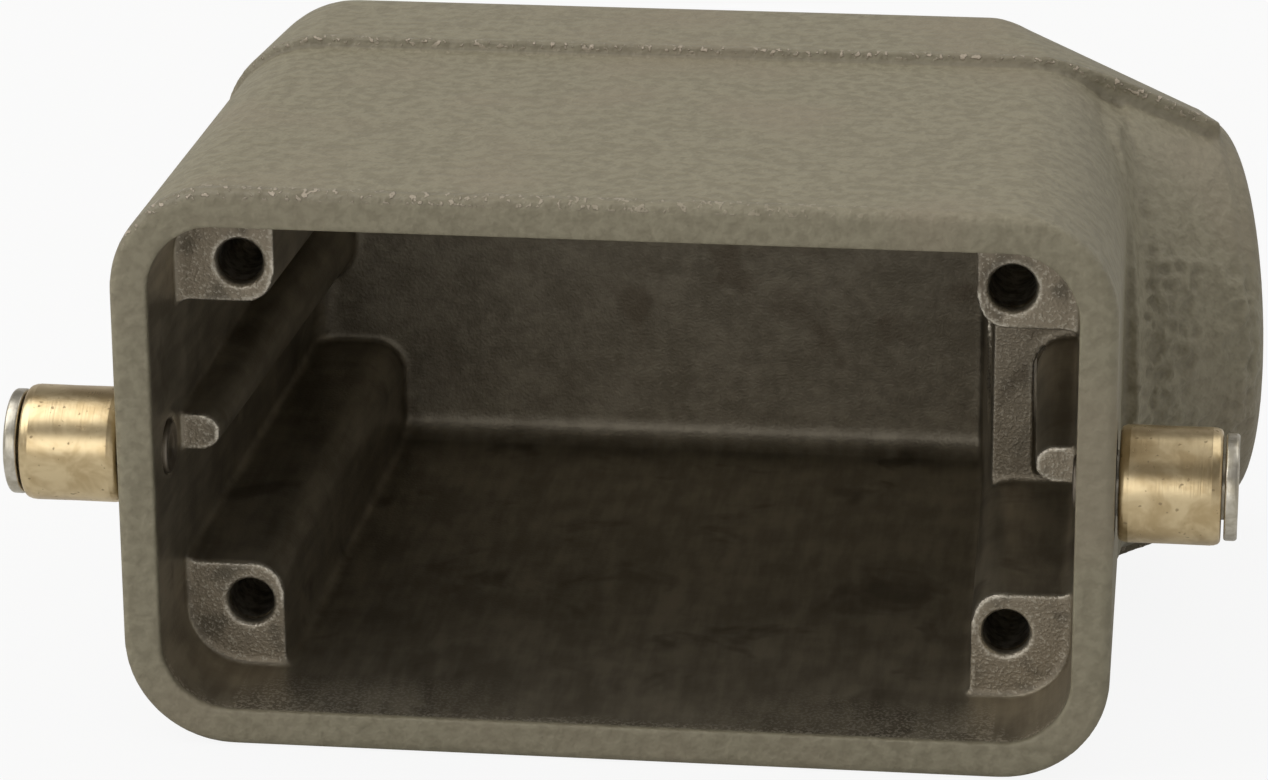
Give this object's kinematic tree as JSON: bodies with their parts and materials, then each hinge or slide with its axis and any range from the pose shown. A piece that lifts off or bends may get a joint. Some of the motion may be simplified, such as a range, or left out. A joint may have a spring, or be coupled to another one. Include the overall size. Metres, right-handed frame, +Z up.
{
  "type": "rectangular connector hood",
  "caption": "Die-cast hood of a heavy duty rectangular connector with a side cable entry and a locking peg with roller sleeve on each end.",
  "frame": {"origin": "middle of the four insert screws, on their boss faces", "axes": "+X along the hood towards the cable entry end, +Y from the mouth into the hood, +Z up across its width as it lies on a long wall"},
  "size_m": [0.0921, 0.0576, 0.0434],
  "materials": {
    "hood": "grey textured powder coat outside, bare cast metal inside",
    "pin": "nickel plated, satin",
    "sleeve": "turned, slightly tarnished"
  },
  "bodies": {
    "housing": {"hood": "hood", "left_pin": "pin", "right_pin": "pin"},
    "left_roller": {"left_sleeve": "sleeve"},
    "right_roller": {"right_sleeve": "sleeve"}
  },
  "joints": [
    {"name": "left_roller_spin", "type": "hinge", "parent": "housing", "child": "left_roller", "pos_m": [-0.04039, -0.0032, 0], "axis": [1, 0, 0], "continuous": true},
    {"name": "right_roller_spin", "type": "hinge", "parent": "housing", "child": "right_roller", "pos_m": [0.04039, -0.0032, 0], "axis": [1, 0, 0], "continuous": true}
  ]
}
